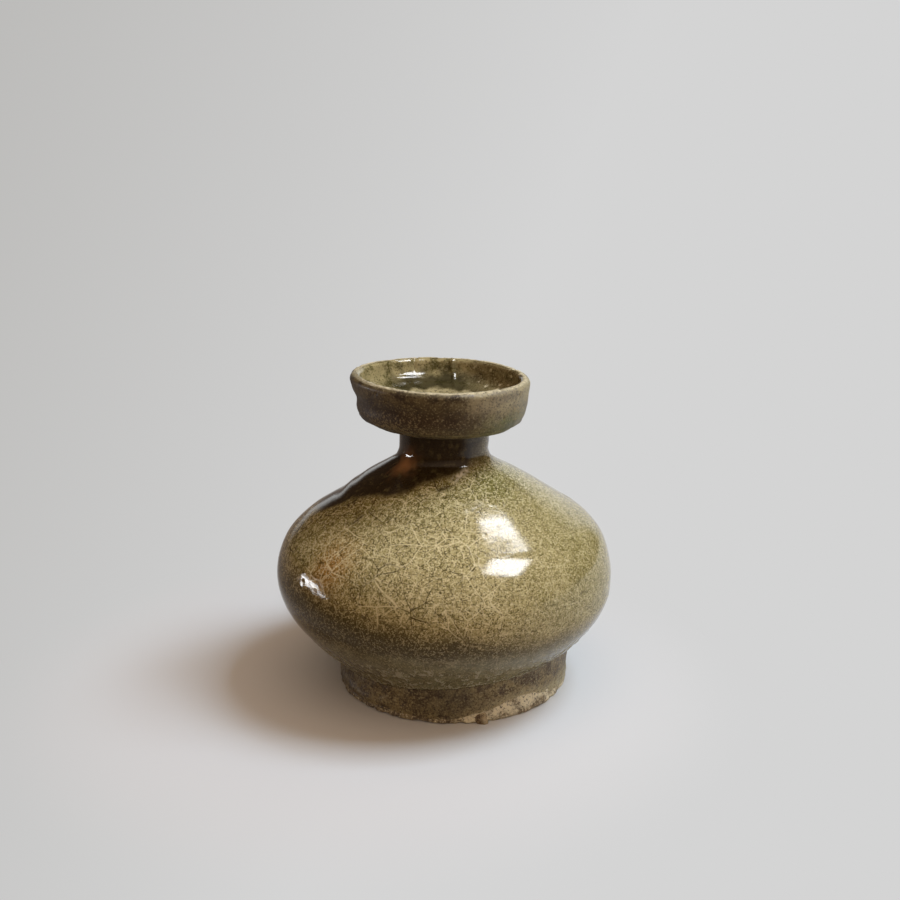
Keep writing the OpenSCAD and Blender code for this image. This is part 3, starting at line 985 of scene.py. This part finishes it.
def paperFloor():
    form, tint = stageForm, tints(stageForm)
    shape = bmesh.new()
    bmesh.ops.create_circle(shape, cap_ends=True, segments=form["sides"], radius=form["radius"])
    mesh = bpy.data.meshes.new("paperFloor")
    shape.to_mesh(mesh)
    shape.free()
    floor = bpy.data.objects.new("paperFloor", mesh)
    bpy.context.collection.objects.link(floor)
    material = bpy.data.materials.new("mattPaper")
    add = startNodes(material)
    place = add("TexCoord", out="Object")
    distance = add("VectorMath", {0: place, 1: form["middle"]}, out="Value", operation="DISTANCE")
    bearing = add("VectorMath", {0: place, 1: form["seenFrom"]}, operation="SUBTRACT")
    bearing = add("VectorMath", {0: bearing}, operation="NORMALIZE")
    away = add("MapRange", {0: distance, 1: form["near"], 2: form["far"]}, **soft)
    camera, glossy = (add("LightPath", out=kind) for kind in ("Is Camera Ray", "Is Glossy Ray"))
    seen = add("Math", {0: camera, 1: glossy}, operation="MAXIMUM")
    seen = add("Math", {0: seen, 1: away}, operation="MULTIPLY")
    depth = add("VectorMath", {0: place, 1: form["frontSide"]}, out="Value", operation="DOT_PRODUCT")
    start, stop = form["edge"]
    front = add("MapRange", {0: depth, 1: start, 2: stop}, **soft)
    others = add("Math", {0: 1.0, 1: camera}, operation="SUBTRACT")
    unseen = add("Math", {0: front, 1: others}, operation="MULTIPLY")
    across = add("SeparateXYZ", {0: place}, out="X")
    start, stop = form["aside"]
    shade = add("MapRange", {0: across, 1: start, 2: stop, 4: form["asideShare"]}, **soft)
    shade = add("Math", {0: shade, 1: glossy}, operation="MULTIPLY")
    unseen = add("Math", {0: unseen, 1: shade}, operation="MAXIMUM")
    paper = add("BsdfDiffuse", {"Color": tint["paper"]})
    table = add("BsdfDiffuse", {"Color": tint["table"]})
    glow = add("Emission", {"Color": backdropTone(add, bearing)})
    shown = add("MixShader", {0: seen, 1: paper, 2: glow})
    add("OutputMaterial", {"Surface": add("MixShader", {0: unseen, 1: shown, 2: table})})
    mesh.materials.append(material)


# Light: a cool ceiling panel at the right, two panes over it and two strips at the left that only show in the
# gloss, pale paper low behind, and a warm room that is bright overhead
lightForm = {
    "ceiling": "#dec1a6",
    "ceilingLevel": 1.2,
    "ceilingShine": -0.5,  # how much less of it shows in the gloss
    "ceilingSide": (0.25, -0.45, 0.86),
    "brighten": (0.2, 0.9),  # from the dark of the room to the bright ceiling
    "room": "#4a3c30",
    "roomLevel": 0.85,
    "paper": "#dcdcda",
    "paperLevel": 1.2,
    "paperBehind": (0.1, 0.5),
    "paperTop": (0.32, 0.18),  # heights between which it ends, straight behind
    "paperTilt": -0.4,  # it stands higher at the right
    "paperRight": (0.6, 0.45),
    "paperLeft": (-0.75, -0.3),
    "panel": "#d9ecfb",
    "panelLevel": 17,
    "panelForm": {"place": (0.39, -0.02, 0.72), "along": (1, 0, 0), "size": (0.3, 0.33)},
    "shine": "#f8f9fc",
    "shineLevel": 21,
    "shines": [
        {"place": (0.3, 0.143, 0.7), "along": (0.2, 0.148, 0), "size": (0.22, 0.066)},
        {"place": (0.405, -0.165, 0.7), "along": (1, 0, 0), "size": (0.27, 0.31)},
        {"place": (-0.8, 0.12, 0.076), "along": (0, -1, 0.07), "size": (0.25, 0.05)},
        {"place": (-0.8, -0.06, 0.043), "along": (0, -0.93, -0.36), "size": (0.13, 0.02)},
    ],
}


def roomLight():
    form = lightForm
    world = bpy.data.worlds.new("room")
    bpy.context.scene.world = world
    add = startNodes(world)
    bearing = add("TexCoord", out="Generated")
    across, depth, height = (add("SeparateXYZ", {0: bearing}, out=axis) for axis in ("X", "Y", "Z"))
    lift = add("VectorMath", {0: bearing, 1: form["ceilingSide"]}, out="Value", operation="DOT_PRODUCT")
    dim, bright = form["brighten"]
    overhead = add("MapRange", {0: lift, 1: dim, 2: bright}, **soft)
    level = add("Math", {0: across, 1: form["paperTilt"], 2: height}, operation="MULTIPLY_ADD")
    sides = {"paperBehind": depth, "paperTop": level, "paperRight": across, "paperLeft": across}
    sheet = 1.0
    for name, measure in sides.items():
        beyond, within = form[name]
        share = add("MapRange", {0: measure, 1: beyond, 2: within}, **soft)
        sheet = add("Math", {0: sheet, 1: share}, operation="MULTIPLY")
    room = add("Background", {"Color": colour(form["room"]), "Strength": form["roomLevel"]})
    camera, glossy = (add("LightPath", out=kind) for kind in ("Is Camera Ray", "Is Glossy Ray"))
    shine = add("Math", {0: glossy, 1: form["ceilingShine"], 2: 1.0}, operation="MULTIPLY_ADD")
    shine = add("Math", {0: shine, 1: form["ceilingLevel"]}, operation="MULTIPLY")
    ceiling = add("Background", {"Color": colour(form["ceiling"]), "Strength": shine})
    paper = add("Background", {"Color": colour(form["paper"]), "Strength": form["paperLevel"]})
    lit = add("MixShader", {0: overhead, 1: room, 2: ceiling})
    lit = add("MixShader", {0: sheet, 1: lit, 2: paper})
    shown = add("Background", {"Color": backdropTone(add, bearing)})
    add("OutputWorld", {"Surface": add("MixShader", {0: camera, 1: lit, 2: shown})})


def addLight(name, form, tint, level):  # faces the pot, level is the brightness of the lit face
    lamp = bpy.data.lights.new(name, "AREA")
    lamp.shape = "RECTANGLE"
    lamp.size, lamp.size_y = form["size"]
    lamp.energy = level * math.pi * lamp.size * lamp.size_y
    lamp.color = colour(tint)[:3]
    light = bpy.data.objects.new(name, lamp)
    back = Vector(form["place"]).normalized()
    side = back.cross(Vector(form["along"])).normalized()
    light.matrix_world = Matrix((side.cross(back), side, back)).transposed().to_4x4()
    light.location = form["place"]
    bpy.context.collection.objects.link(light)
    return light


def studio():
    form = lightForm
    panel = addLight("ceilingPanel", form["panelForm"], form["panel"], form["panelLevel"])
    panel.visible_glossy = False
    for i, pane in enumerate(form["shines"]):
        shine = addLight("shine%d" % (i + 1), pane, form["shine"], form["shineLevel"])
        shine.visible_diffuse = False
        shine.visible_camera = False


# Camera: a little above the pot, looking down on the dish
cameraForm = {"place": (1.44, -300, 144.67), "pitch": 15.616, "lens": 49.564, "sensor": 36}


def photographView():
    data = bpy.data.cameras.new("view")
    data.lens = cameraForm["lens"]
    data.sensor_width = cameraForm["sensor"]
    camera = bpy.data.objects.new("view", data)
    camera.location = Vector(cameraForm["place"]) * millimetre
    camera.rotation_euler = (math.radians(90 - cameraForm["pitch"]), 0, 0)
    bpy.context.collection.objects.link(camera)
    bpy.context.scene.camera = camera


paperFloor()
roomLight()
studio()
photographView()
bpy.context.scene.view_settings.view_transform = "Standard"
print("stage, light and camera ready")
